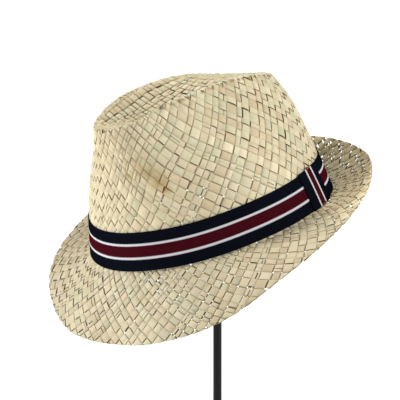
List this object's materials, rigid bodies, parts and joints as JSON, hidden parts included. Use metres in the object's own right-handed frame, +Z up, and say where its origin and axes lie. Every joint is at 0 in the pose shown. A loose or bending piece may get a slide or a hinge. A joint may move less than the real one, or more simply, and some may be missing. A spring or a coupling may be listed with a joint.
{
  "type": "straw trilby on a stand",
  "caption": "Plaited straw trilby with a dished crown, turned-up brim and striped ribbon, tipped forward on a plain black post stand.",
  "frame": {"origin": "middle of the underside of the stand's base, on the surface that it stands on", "axes": "+Z up along the post, -Y towards the front of the hat, +X towards the wearer's left"},
  "size_m": [0.2469, 0.2239, 0.3391],
  "materials": {
    "straw": "matt, dry plaited straw with a faint sheen",
    "ribbon": "ribbed woven ribbon, navy, cream and burgundy stripes",
    "stand_metal": "satin black paint",
    "stand_cap": "matt black"
  },
  "bodies": {
    "root": {"straw_hat": "straw", "ribbon_band": "ribbon", "ribbon_keeper": "ribbon", "stand_base": "stand_metal", "stand_post": "stand_metal", "stand_cap": "stand_cap"}
  },
  "joints": []
}
